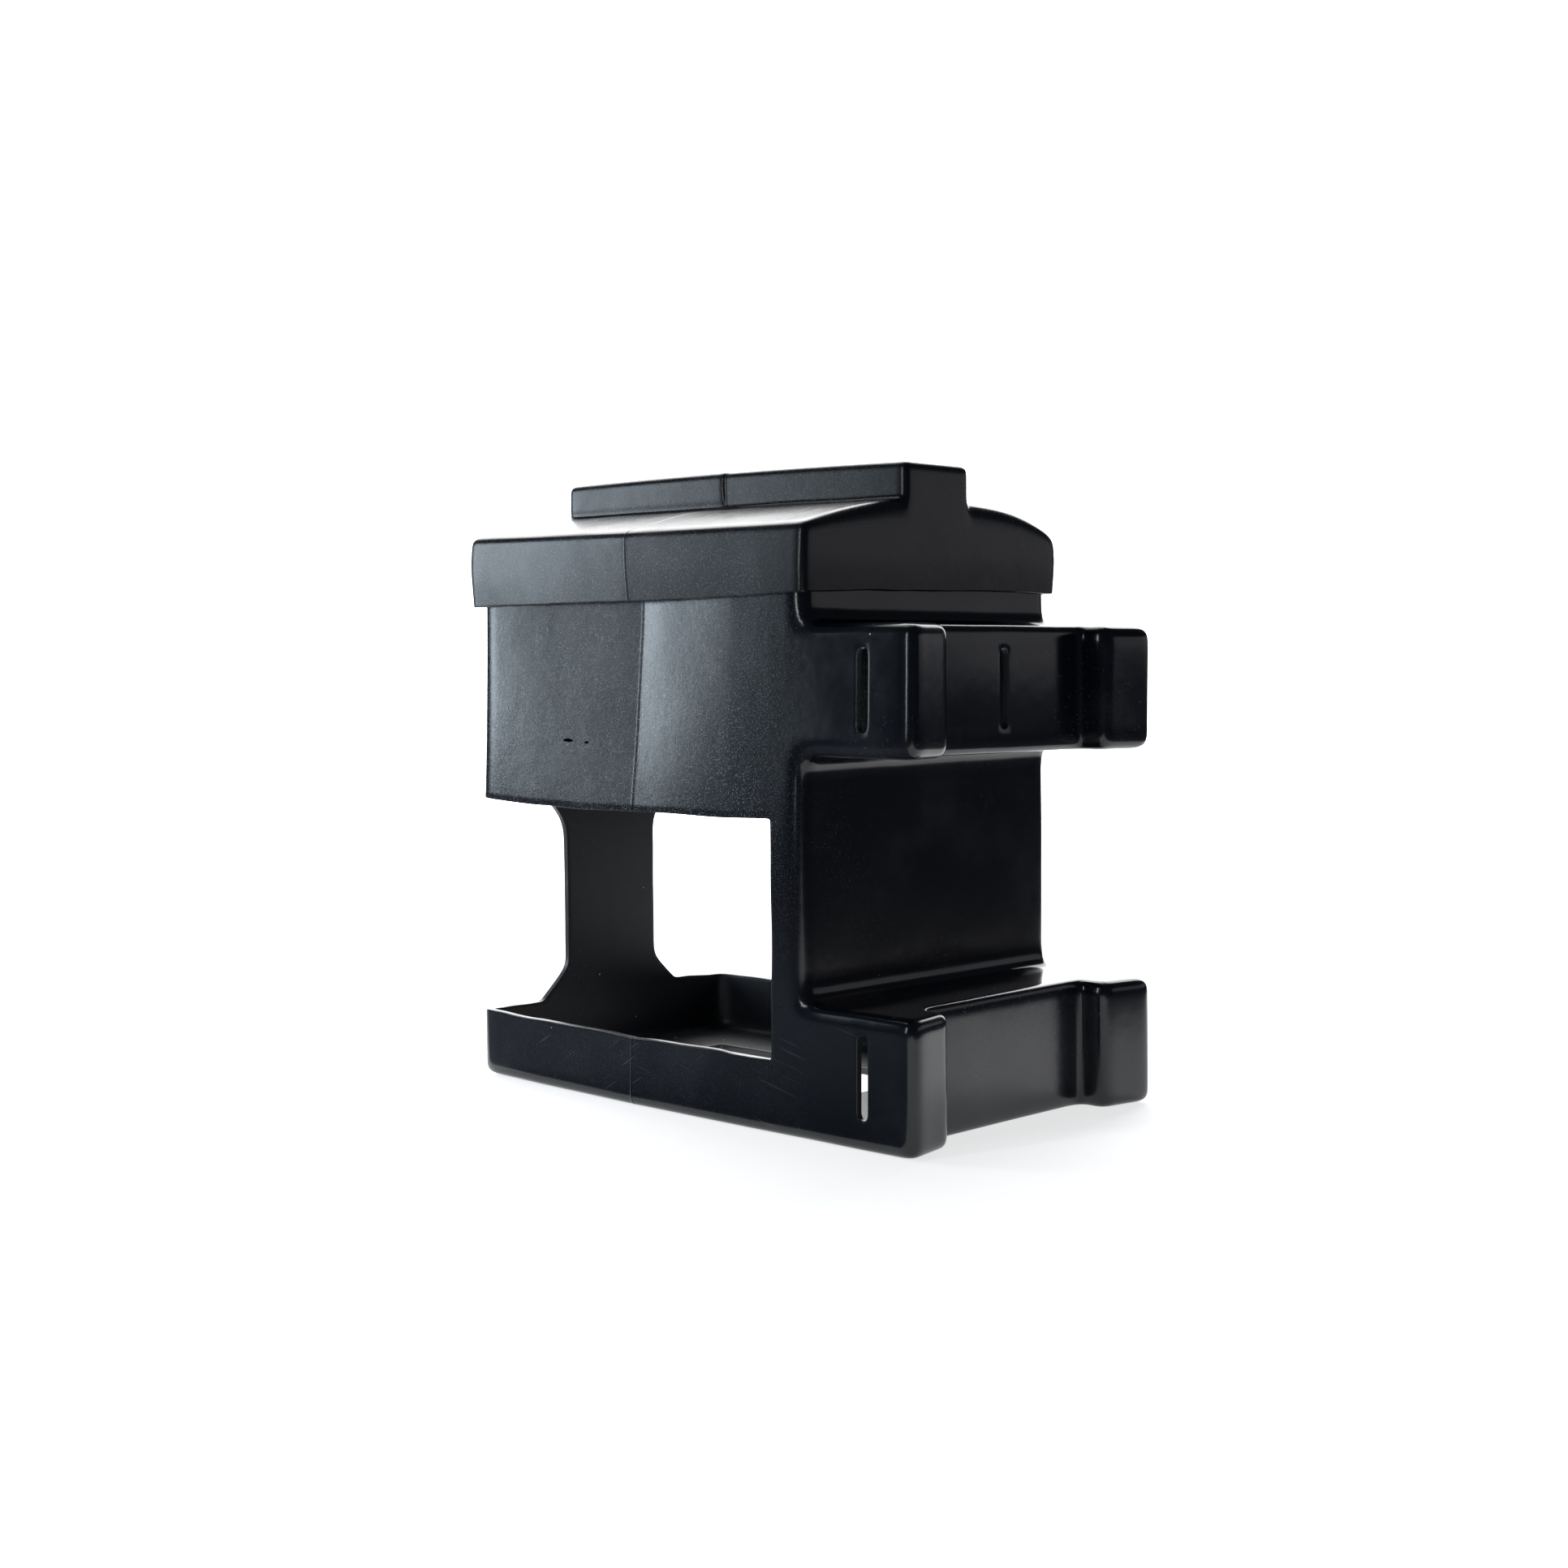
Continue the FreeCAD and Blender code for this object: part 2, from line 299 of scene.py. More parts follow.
def housing_place(skin, i, j, k):
    inner = skin * WALL
    side = 1 if HX[i] > 0 else -1
    x = abs(HX[i])
    y = housing_length(x, j, inner)
    z = housing_height(j, k, inner)
    x = side * housing_across(side, x, i, j, y, z, inner)
    if k == K_TRAY and y <= CUT_REAR:
        z += tray_rim(x, y)
    if k == K_HOOD and y <= CUT_REAR:
        z += hood_rim(x, y)
    if j == J_CUT and i in (0, NX - 1):
        y += wander(5 + side, z, 1.4, 30)
    return soften(x, y, z, skin)


# Shape errors of the housing at each height, mm
WALL_BOW = [(0, 0.3), (49, -0.7), (120, 0.2), (206, 1.3), (300, 0.2), (360, -0.3), (398, -0.2)]
VALLEY_DEPTH = [(0, 0.2), (60, 0.5), (206, 4.6), (250, 6.2), (330, 8.2), (398, 8.2)]
FRONT_LEAN = [(0, -0.9), (49, -1.6), (73, -1.5), (190, 0.3), (206, 1.0), (300, 0.0), (398, 0.0)]
HOUSING_SKEW = [(0, 0.0), (206, -2.2), (338, 4.5), (400, 5.0)]
PARTING_LINE = 0.55      # how far the line stands proud of the side walls


def along_cut(x, y):
    """Distance along a hand-cut edge: y down the sides, carried on round the front corner."""
    return y if abs(x) > 120 else -FRONT - (133 - abs(x))


def tray_rim(x, y):
    """Unevenness of the tray's cut edge."""
    side = 11 if x > 0 else 12
    along = along_cut(x, y)
    low = 0.0 if x > 0 else ramp(along, [(-300, 2.4), (-173, 1.4), (-115, 0.8), (135, 0.4)])
    return wander(side, along, 1.9, 34) + wander(side + 2, along, 0.7, 13) + low


def hood_rim(x, y):
    """Unevenness of the hood's cut edge."""
    side = 21 if x > 0 else 22
    along = along_cut(x, y)
    drop = ramp(along, [(-173, 1.6), (-72, -1.8), (20, 0.2), (135, 0.6)])
    return wander(side, along, 0.9, 40) + drop


def soften(x, y, z, skin):
    """Gentle errors of a real moulding, alike on both skins, and the raised line where the mould parts."""
    side = 1 if x > 0 else -1
    width = max(0.0, min(1.0, (abs(x) - 90) / 40))
    along = max(0.0, 1 - ((y + 5) / 170) ** 2)
    # the side walls bow out towards the hood's cut edge
    bow = ramp(z, WALL_BOW) * along
    ripple = 0.7 * noise.noise(Vector((x / 90, y / 70, z / 80)))
    # and pull in to a valley at the parting line, deepest under the lid
    reach = 178 if y < 1 else 98
    bend = 1.0 if y < 1 else 1.35
    valley = ramp(z, VALLEY_DEPTH) * (1 - min(1.0, abs(y - 1) / reach)) ** bend
    dx = side * width * (bow + ripple - valley)
    # the front wall leans out towards the hood's edge, and the tray sits inside it
    ahead = max(0.0, min(1.0, (-y - 120) / 50))
    behind = max(0.0, min(1.0, (y - 120) / 40))
    dy = behind * 0.8 * noise.noise(Vector((x / 60, 3.3, z / 60))) - ahead * ramp(z, FRONT_LEAN)
    dz = 0.5 * noise.noise(Vector((x / 80, y / 80, z / 60 + 9))) if z >= 8 else 0.0
    if skin == 0 and abs(y) < 0.3 and abs(x) > 120:
        dx += side * PARTING_LINE
    skew = ramp(z, HOUSING_SKEW) if abs(y) < 3 else 0.0
    return x + dx, y + dy + skew, z + dz


housing_cage = cage_mesh("housing_moulding", (NX, NY, NZ), housing_filled, housing_opened, housing_place)
housing = skinned("housing_moulding", housing_cage, 2)

# Lid levels
lid_x = [12.0, 24.0, RIDGE_HALF, 46.0, 62.0, 80.0, 98.0, 114.0, 128.0, LID_SIDE]
LX = [-x for x in reversed(lid_x)] + lid_x
ROOF_EDGE = (9.0, 17.0)      # reach of the rounding at the roof's edge: right side, left side
LY = [-LID_FRONT, -170.0, -158.0, -140.0, -120.0, -98.0, -76.0, -54.0, -32.0, -12.0, -2.0, -0.6, 0.0, 0.6,
      2.0, 22.0, 44.0, 66.0, 88.0, 110.0, 130.0, 148.0, 160.0, LID_REAR]
LZ = [SKIRT, 360.0, 370.0, 382.0, 394.0, SHOULDER, 414.0, 432.0, 443.0, RIDGE_TOP]
K_ROOF = LZ.index(SHOULDER)
I_RIDGE = (LX.index(-RIDGE_HALF), LX.index(RIDGE_HALF))


def lid_filled(i, j, k):
    return k < K_ROOF or I_RIDGE[0] <= i < I_RIDGE[1]


def lid_opened(axis, side, i, j, k):
    return axis == 2 and side == 0 and k == 0


def roof_height(x):
    share = max(0.0, min(1.0, (abs(x) - RIDGE_HALF) / (LID_SIDE - RIDGE_HALF)))
    fuller = 0.0 if x > 0 else 4.2 * math.sin(math.pi * share ** 1.3)
    return ROOF - (ROOF - SHOULDER) * share ** 1.35 + fuller


def skirt_edge(x, y):
    """How far the skirt's lower edge wanders from level, round the lid."""
    rear = ramp(x, [(-140, 4.4), (-90, 5.1), (-30, 4.4), (60, 3.0), (139, 0.5)])
    side = ramp(y, [(-180, -4.2), (-60, -3.6), (20, -3.0), (120, -1.6), (169, -0.3)])
    back = max(0.0, min(1.0, (y - 110) / 55))
    if x < 0:
        side = ramp(y, [(-180, -2.0), (169, 2.0)])
    return side + (rear - side) * back + wander(31, x + y, 0.8, 24)


def lid_height(x, k, inner):
    """x is the distance from the middle, positive on the right."""
    if k == K_ROOF:
        return roof_height(x) - inner * 1.03
    heights = {
        K_ROOF - 1: SHOULDER - SHOULDER_ROUND[0 if x > 0 else 1],
        K_ROOF + 1: ROOF + 6.0,
        len(LZ) - 2: RIDGE_TOP - RIDGE_ROUND,
        len(LZ) - 1: RIDGE_TOP - 0.3,
    }
    return heights[k] - inner if k in heights else LZ[k]


def lid_length(j, inner):
    last = len(LY) - 1
    shift = {0: inner, 1: 0.6 * inner, last - 1: -0.6 * inner, last: -inner}
    return LY[j] + shift.get(j, 0.0)


def lid_across(side, x, i, k, y, inner):
    """Distance from the middle of the level at x, which is on the given side of the middle."""
    full = LID_SIDE - draft(y)
    if i in (0, len(LX) - 1):
        return full - inner
    if i in (1, len(LX) - 2):
        return full - inner - ROOF_EDGE[0 if side > 0 else 1]
    if i in I_RIDGE and k >= K_ROOF:
        return RIDGE_HALF - inner
    if i in (I_RIDGE[0] - 1, I_RIDGE[1] + 1):
        return RIDGE_HALF + 6.0
    if i in (I_RIDGE[0] + 1, I_RIDGE[1] - 1):
        return RIDGE_HALF - inner - 9.0
    return x * full / LID_SIDE


def lid_place(skin, i, j, k):
    inner = skin * WALL
    side = 1 if LX[i] > 0 else -1
    y = lid_length(j, inner)
    x = side * lid_across(side, abs(LX[i]), i, k, y, inner)
    z = lid_height(x, k, inner)
    if k <= 1:
        z += skirt_edge(x, y) * (1.0 if k == 0 else 0.8)
    return lid_soften(x, y, z, skin)


# Shape errors of the lid at each height, mm
SKIRT_BARREL = [(352, -1.9), (370, -0.4), (385, 0.2), (401, -1.2)]
END_LEAN = [(352, -1.6), (385, 0.0), (401, -0.6), (450, -0.8)]
LID_SKEW = [(353, 1.4), (399, -1.1), (439, -4.9), (450, -4.9)]
RIDGE_STEP = (1.7, 0.9)      # how far the front half of the ridge stands proud: sideways, up


def lid_soften(x, y, z, skin):
    """Gentle shape errors of the lid, and the step and raised line where its mould parts."""
    side = 1 if x > 0 else -1
    width = max(0.0, min(1.0, (abs(x) - 100) / 38))
    along = max(0.0, 1 - (y / 175) ** 2)
    ripple = 0.5 * noise.noise(Vector((x / 80, y / 60, z / 50)))
    dx = side * width * (ramp(z, SKIRT_BARREL) + ripple - 0.6 * along)
    ends = max(0.0, min(1.0, (abs(y) - 130) / 40))
    dy = (1 if y > 0 else -1) * ends * ramp(z, END_LEAN)
    ridge = max(0.0, min(1.0, (z - 415) / 30))
    dz = ridge * (0.2 - 1.6 * (y / 170) ** 2)
    if 395 < z < 440 and abs(x) < 130:
        dz += 0.7 * noise.noise(Vector((x / 50, y / 60, 4.0)))
    # the two halves of the mould met a little out of line
    if y < -1.0 and skin == 0:
        if abs(x) > 120:
            dx += side * 0.15
        elif z > 425 and abs(x) > 28:
            dx += side * RIDGE_STEP[0]
        elif z > 440:
            dz += RIDGE_STEP[1]
    if skin == 0 and abs(y) < 0.3:
        if abs(x) > 120 or (z > 395 and abs(x) > 25):
            dx += side * 0.35
        if z > 395:
            dz += 0.3
    skew = ramp(z, LID_SKEW) if abs(y) < 3 else 0.0
    return x + dx, y + dy + skew, z + dz


lid_cage = cage_mesh("lid_moulding", (len(LX), len(LY), len(LZ)), lid_filled, lid_opened, lid_place)
lid = skinned("lid_moulding", lid_cage, 2)

for obj, node, body, slot in ((housing, "housing", "housing_body", "black_polyethylene"),
                              (lid, "lid", "lid_body", "lid_polyethylene")):
    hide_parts(node)
    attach(obj, body)


# Materials
def group(name, inputs, outputs):
    """An empty shader group with named inputs (name, kind, default) and outputs (name, kind)."""
    tree = bpy.data.node_groups.new(name, "ShaderNodeTree")
    for label, kind, default in inputs:
        socket = tree.interface.new_socket(label, in_out="INPUT", socket_type=kind)
        if default is not None:
            socket.default_value = default
    for label, kind in outputs:
        tree.interface.new_socket(label, in_out="OUTPUT", socket_type=kind)
    return tree, tree.nodes.new("NodeGroupInput"), tree.nodes.new("NodeGroupOutput")


def node(tree, kind, **settings):
    """A new node; lower-case settings are its properties, the others are values of its inputs."""
    made = tree.nodes.new(kind)
    for key, value in settings.items():
        if key in made.bl_rna.properties:
            setattr(made, key, value)
        else:
            made.inputs[key.replace("_", " ")].default_value = value
    return made


def math_node(tree, operation, a, b=None, clamp=False):
    """a and b are sockets or numbers; gives back the result's socket."""
    made = tree.nodes.new("ShaderNodeMath")
    made.operation = operation
    made.use_clamp = clamp
    for slot, value in ((0, a), (1, b)):
        if value is None:
            continue
        if isinstance(value, (int, float)):
            made.inputs[slot].default_value = value
        else:
            tree.links.new(value, made.inputs[slot])
    return made.outputs[0]


def band(tree, value, low, high):
    """0 below low, 1 above high, smooth between."""
    made = node(tree, "ShaderNodeMapRange", interpolation_type="SMOOTHSTEP", From_Min=low, From_Max=high)
    tree.links.new(value, made.inputs["Value"])
    return made.outputs["Result"]


# Heights of the grain's three sizes, metres
FINE_HEIGHT = 0.00007
COARSE_HEIGHT = 0.00006
SLOW_HEIGHT = 0.0002
# Share of the grains that get a painted glint, and how sharply
GLINT_BAND = (0.56, 0.74)


def fine_grain_and_painted_glints():
    """The grain cast off a sand-blasted mould, a fine bump and a slow unevenness, and its painted glints: a
    lighter colour on a share of the grains, standing in for the light they catch.
    """
    tree, into, out = group("fine cast grain and painted glints",
                            [("Position", "NodeSocketVector", None), ("Depth", "NodeSocketFloat", 1.0)],
                            [("Normal", "NodeSocketVector"), ("Grain", "NodeSocketFloat"),
                             ("Painted glints", "NodeSocketFloat")])
    fine = node(tree, "ShaderNodeTexNoise", Scale=1150.0, Detail=2.0, Roughness=0.6)
    coarse = node(tree, "ShaderNodeTexNoise", Scale=330.0, Detail=3.0, Roughness=0.55)
    slow = node(tree, "ShaderNodeTexNoise", Scale=38.0, Detail=2.0)
    for texture in (fine, coarse, slow):
        tree.links.new(into.outputs["Position"], texture.inputs["Vector"])
    total = math_node(tree, "ADD", math_node(tree, "MULTIPLY", fine.outputs[0], FINE_HEIGHT),
                      math_node(tree, "MULTIPLY", coarse.outputs[0], COARSE_HEIGHT))
    total = math_node(tree, "MULTIPLY", total, into.outputs["Depth"])
    total = math_node(tree, "ADD", total, math_node(tree, "MULTIPLY", slow.outputs[0], SLOW_HEIGHT))
    bump = node(tree, "ShaderNodeBump", Strength=1.0, Distance=1.0)
    tree.links.new(total, bump.inputs["Height"])
    tree.links.new(bump.outputs["Normal"], out.inputs["Normal"])
    tree.links.new(fine.outputs[0], out.inputs["Grain"])
    # Painted glints: grains whose colour is lightened to stand in for the light they catch
    glint = node(tree, "ShaderNodeTexNoise", Scale=1050.0, Detail=1.0, Roughness=0.6)
    tree.links.new(into.outputs["Position"], glint.inputs["Vector"])
    painted_glints = math_node(tree, "MULTIPLY", band(tree, glint.outputs[0], *GLINT_BAND), into.outputs["Depth"])
    tree.links.new(painted_glints, out.inputs["Painted glints"])
    return tree


# (turn about z, tilt, waves per metre along the scratch, waves per metre across it)
SCRATCH_SETS = [(1.57, 0.22, 16.0, 640.0), (1.57, -0.55, 26.0, 760.0), (0.35, 0.0, 14.0, 560.0)]


def rubbed_marks():
    """Long faint scratches and rubbed patches."""
    tree, into, out = group("rubbed marks",
                            [("Position", "NodeSocketVector", None), ("Amount", "NodeSocketFloat", 0.5)],
                            [("Scratches", "NodeSocketFloat"), ("Rubbing", "NodeSocketFloat")])
    masks = []
    for turn_z, tilt, along, across in SCRATCH_SETS:
        turn = node(tree, "ShaderNodeMapping", vector_type="TEXTURE", Rotation=(0.0, tilt, turn_z),
                    Scale=(1 / along, 1 / across, 1 / across))
        tree.links.new(into.outputs["Position"], turn.inputs["Vector"])
        line = node(tree, "ShaderNodeTexNoise", Scale=1.0, Detail=1.0, Roughness=0.3)
        tree.links.new(turn.outputs["Vector"], line.inputs["Vector"])
        where = node(tree, "ShaderNodeTexNoise", Scale=across * 0.012, Detail=2.0)
        tree.links.new(into.outputs["Position"], where.inputs["Vector"])
        thin = band(tree, line.outputs[0], 0.7, 0.78)
        masks.append(math_node(tree, "MULTIPLY", thin, band(tree, where.outputs[0], 0.5, 0.66)))
    lines = math_node(tree, "ADD", math_node(tree, "ADD", masks[0], masks[1]), masks[2], clamp=True)
    rub = node(tree, "ShaderNodeTexNoise", Scale=14.0, Detail=4.0, Roughness=0.65)
    tree.links.new(into.outputs["Position"], rub.inputs["Vector"])
    tree.links.new(math_node(tree, "MULTIPLY", lines, into.outputs["Amount"]), out.inputs["Scratches"])
    rubbed = math_node(tree, "MULTIPLY", band(tree, rub.outputs[0], 0.45, 0.75), into.outputs["Amount"])
    tree.links.new(rubbed, out.inputs["Rubbing"])
    return tree


CRUMB_CELLS = 230.0      # cells per metre, each with room for one crumb
CRUMB_RADIUS = 0.0008    # of the largest, metres
CRUMBS_ANYWHERE = 0.006  # share of the cells that hold one
CRUMBS_ON_TOP = 0.1      # what faces that look up add to that share


def pale_specks():
    """Crumbs of plastic and dust, thicker on faces that look up."""
    tree, into, out = group("pale specks",
                            [("Position", "NodeSocketVector", None), ("Normal", "NodeSocketVector", None),
                             ("Amount", "NodeSocketFloat", 0.3)],
                            [("Specks", "NodeSocketFloat"), ("Film", "NodeSocketFloat")])
    cells = node(tree, "ShaderNodeTexVoronoi", Scale=CRUMB_CELLS, Randomness=1.0)
    tree.links.new(into.outputs["Position"], cells.inputs["Vector"])
    pick = tree.nodes.new("ShaderNodeSeparateColor")
    tree.links.new(cells.outputs["Color"], pick.inputs[0])
    size = math_node(tree, "MULTIPLY", pick.outputs[1], CRUMB_RADIUS)
    reach = math_node(tree, "DIVIDE", cells.outputs["Distance"], CRUMB_CELLS)
    dot = math_node(tree, "LESS_THAN", reach, size)
    up = tree.nodes.new("ShaderNodeSeparateXYZ")
    tree.links.new(into.outputs["Normal"], up.inputs[0])
    level = band(tree, up.outputs["Z"], 0.3, 0.95)
    share = math_node(tree, "ADD", math_node(tree, "MULTIPLY", level, CRUMBS_ON_TOP), CRUMBS_ANYWHERE)
    share = math_node(tree, "MULTIPLY", share, into.outputs["Amount"])
    chosen = math_node(tree, "LESS_THAN", pick.outputs[0], share)
    tree.links.new(math_node(tree, "MULTIPLY", dot, chosen), out.inputs["Specks"])
    film = node(tree, "ShaderNodeTexNoise", Scale=60.0, Detail=5.0, Roughness=0.7)
    tree.links.new(into.outputs["Position"], film.inputs["Vector"])
    thick = math_node(tree, "MULTIPLY", band(tree, film.outputs[0], 0.35, 0.8), level)
    tree.links.new(math_node(tree, "MULTIPLY", thick, into.outputs["Amount"]), out.inputs["Film"])
    return tree


GRAIN = fine_grain_and_painted_glints()
RUBBED = rubbed_marks()
SPECKS = pale_specks()


def mix_colour(tree, factor, a, b):
    made = tree.nodes.new("ShaderNodeMix")
    made.data_type = "RGBA"
    tree.links.new(factor, made.inputs[0])
    for slot, value in ((6, a), (7, b)):
        if isinstance(value, tuple):
            made.inputs[slot].default_value = value
        else:
            tree.links.new(value, made.inputs[slot])
    return made.outputs[2]


def spot(tree, place, centre, size, ragged):
    """1 inside a ragged blot at centre (mm, mould frame) of the given half sizes, 0 outside."""
    shift = node(tree, "ShaderNodeVectorMath", operation="SUBTRACT")
    shift.inputs[1].default_value = (centre[0] / 1000, (centre[1] - SHIFT) / 1000, centre[2] / 1000)
    tree.links.new(place, shift.inputs[0])
    scale = node(tree, "ShaderNodeVectorMath", operation="DIVIDE")
    scale.inputs[1].default_value = tuple(value / 1000 for value in size)
    tree.links.new(shift.outputs[0], scale.inputs[0])
    far_off = node(tree, "ShaderNodeVectorMath", operation="LENGTH")
    tree.links.new(scale.outputs[0], far_off.inputs[0])
    torn = node(tree, "ShaderNodeTexNoise", Scale=420.0, Detail=2.0)
    tree.links.new(place, torn.inputs["Vector"])
    tear = math_node(tree, "MULTIPLY", torn.outputs[0], ragged)
    edge = math_node(tree, "ADD", far_off.outputs["Value"], tear)
    return math_node(tree, "SUBTRACT", 1.0, band(tree, edge, 0.9 + ragged * 0.5, 1.1 + ragged * 0.5))


GRAIN_ENDS = (0.07, 0.15)    # y between which the grain and its painted glints fade towards the rear, metres
GRAIN_RISES = (0.1, 0.2)     # height over which they grow, metres
LOW_GRAIN = 0.25             # share of the grain and its painted glints below that height
LEAST_GRAIN = 0.14           # share of the grain and its painted glints on every other face


def side_walls(tree, place, shape):
    """1 on the side and front walls of the hopper, where the grain and its painted glints are strongest, less
    elsewhere.
    """
    face = tree.nodes.new("ShaderNodeSeparateXYZ")
    tree.links.new(shape, face.inputs[0])
    at = tree.nodes.new("ShaderNodeSeparateXYZ")
    tree.links.new(place, at.inputs[0])
    turned = math_node(tree, "MAXIMUM", math_node(tree, "ABSOLUTE", face.outputs["X"]),
                       math_node(tree, "MULTIPLY", face.outputs["Y"], -1.0))
    sideways = band(tree, turned, 0.5, 0.95)
    forward = math_node(tree, "SUBTRACT", 1.0, band(tree, at.outputs["Y"], *GRAIN_ENDS))
    high = math_node(tree, "MULTIPLY", band(tree, at.outputs["Z"], *GRAIN_RISES), 1 - LOW_GRAIN)
    high = math_node(tree, "ADD", high, LOW_GRAIN)
    mask = math_node(tree, "MULTIPLY", math_node(tree, "MULTIPLY", sideways, forward), high)
    return math_node(tree, "ADD", math_node(tree, "MULTIPLY", mask, 1 - LEAST_GRAIN), LEAST_GRAIN)


def shared_effect(tree, effect, place, **values):
    """One of the shared groups put into a material, with its own values."""
    made = tree.nodes.new("ShaderNodeGroup")
    made.node_tree = effect
    tree.links.new(place, made.inputs["Position"])
    for key, value in values.items():
        made.inputs[key].default_value = value
    return made


# Colours of the marks: the first is the painted glints on the grain, the others are the plastic's own marks
PAINTED_GLINT = (0.16, 0.18, 0.205)
DUST_FILM = (0.13, 0.125, 0.115)
SCRATCH = (0.18, 0.19, 0.2)
CRUMB = (0.75, 0.75, 0.73)
# How far each mark hides the plastic's own colour
RUBBED_COVER = 0.5
FILM_COVER = 0.16
SCRATCH_COVER = 0.4
# What each adds to the roughness
RUBBED_ROUGH = 0.1
WALL_ROUGH = 0.03
GRAIN_ROUGH = 0.06
SHINE = 0.45


def plastic(name, colour, roughness, grain, wear, dust, blots=()):
    """Black moulded polyethylene. Each of blots is one mark: (centre, half sizes, raggedness, colour)."""
    material = bpy.data.materials.new(name)
    material.use_nodes = True
    tree = material.node_tree
    shader = tree.nodes["Principled BSDF"]
    place = tree.nodes.new("ShaderNodeTexCoord").outputs["Object"]
    shape = tree.nodes.new("ShaderNodeNewGeometry").outputs["Normal"]
    grain_and_glint_share = side_walls(tree, place, shape)
    cast = shared_effect(tree, GRAIN, place)
    tree.links.new(math_node(tree, "MULTIPLY", grain_and_glint_share, grain), cast.inputs["Depth"])
    marks = shared_effect(tree, RUBBED, place, Amount=wear)
    crumbs = shared_effect(tree, SPECKS, place, Amount=dust)
    tree.links.new(shape, crumbs.inputs["Normal"])
    rubbed = marks.outputs["Rubbing"]
    worn = tuple(min(1.0, c * 2.6 + 0.02) for c in colour)
    faded = math_node(tree, "MULTIPLY", rubbed, RUBBED_COVER)
    body = mix_colour(tree, faded, colour + (1.0,), worn + (1.0,))
    layers = [
        # painted glints: the grains' colour lightened where they would catch the light
        (math_node(tree, "MULTIPLY", cast.outputs["Painted glints"], grain_and_glint_share), PAINTED_GLINT),
        (math_node(tree, "MULTIPLY", crumbs.outputs["Film"], FILM_COVER), DUST_FILM),
        (math_node(tree, "MULTIPLY", marks.outputs["Scratches"], SCRATCH_COVER), SCRATCH),
        (crumbs.outputs["Specks"], CRUMB),
    ]
    rough = math_node(tree, "ADD", math_node(tree, "MULTIPLY", rubbed, RUBBED_ROUGH), roughness)
    rough = math_node(tree, "ADD", rough, math_node(tree, "MULTIPLY", grain_and_glint_share, WALL_ROUGH))
    rough = math_node(tree, "ADD", rough, math_node(tree, "MULTIPLY", cast.outputs["Grain"], GRAIN_ROUGH))
    shine = SHINE
    for centre, size, ragged, tint in blots:
        blot = spot(tree, place, centre, size, ragged)
        layers.append((blot, tint))
        shine = math_node(tree, "MULTIPLY", math_node(tree, "SUBTRACT", 1.0, blot), shine)
    for cover, tint in layers:
        body = mix_colour(tree, cover, body, tint + (1.0,))
    tree.links.new(body, shader.inputs["Base Color"])
    tree.links.new(rough, shader.inputs["Roughness"])
    tree.links.new(cast.outputs["Normal"], shader.inputs["Normal"])
    shader.inputs["IOR"].default_value = 1.51
    if blots:
        tree.links.new(shine, shader.inputs["Specular IOR Level"])
    else:
        shader.inputs["Specular IOR Level"].default_value = shine
    return material


SMUDGE = (0.0008, 0.0008, 0.001)
CHIP = (0.8, 0.8, 0.79)
SIDE_MARKS = [
    ((131, -72, 254), (9.0, 5.5, 1.3), 0.8, SMUDGE),
    ((131, -52, 253), (9.0, 2.6, 0.9), 0.9, SMUDGE),
    ((130.5, 255.5, 46.5), (1.4, 1.1, 2.3), 0.9, CHIP),
]
OUTSIDE = plastic("housing_outside", (0.0028, 0.004, 0.0072), 0.13, 1.0, 0.5, 0.25, SIDE_MARKS)
# The inside is the same plastic in a bluer colour: painted blue shade
SHADED_INSIDE = plastic("moulding_inside_painted_shade", (0.0022, 0.004, 0.0084), 0.45, 0.45, 0.3, 1.6)
CUT = plastic("cut_edges", (0.03, 0.032, 0.036), 0.3, 0.5, 0.9, 0.5)
LID_OUTSIDE = plastic("lid_outside", (0.0036, 0.0046, 0.0068), 0.22, 0.8, 0.9, 0.4)
for obj, outside in ((housing, OUTSIDE), (lid, LID_OUTSIDE)):
    for material in (outside, SHADED_INSIDE, CUT):
        obj.data.materials.append(material)


# Floor, backdrop and lights
CAMERA_TURN = math.radians(133.45)
AHEAD = Vector((-math.sin(CAMERA_TURN), math.cos(CAMERA_TURN), 0))
RIGHT = Vector((math.cos(CAMERA_TURN), math.sin(CAMERA_TURN), 0))


POOL_HALF = 0.63         # half width of the white, glowing part of the floor at the station, metres; painted grey shade beyond it
POOL_SPREAD = 0.354      # how much wider it gets with each metre away from the camera
POOL_EDGE = 0.12         # width of its soft edge, metres
PAPER = (0.93, 0.93, 0.935, 1.0)
# Colour of the floor's painted shade at the sides
SHADE = (0.08, 0.08, 0.085, 1.0)
WHITE = (1.0, 1.0, 1.0, 1.0)
BLACK = (0.0, 0.0, 0.0, 1.0)


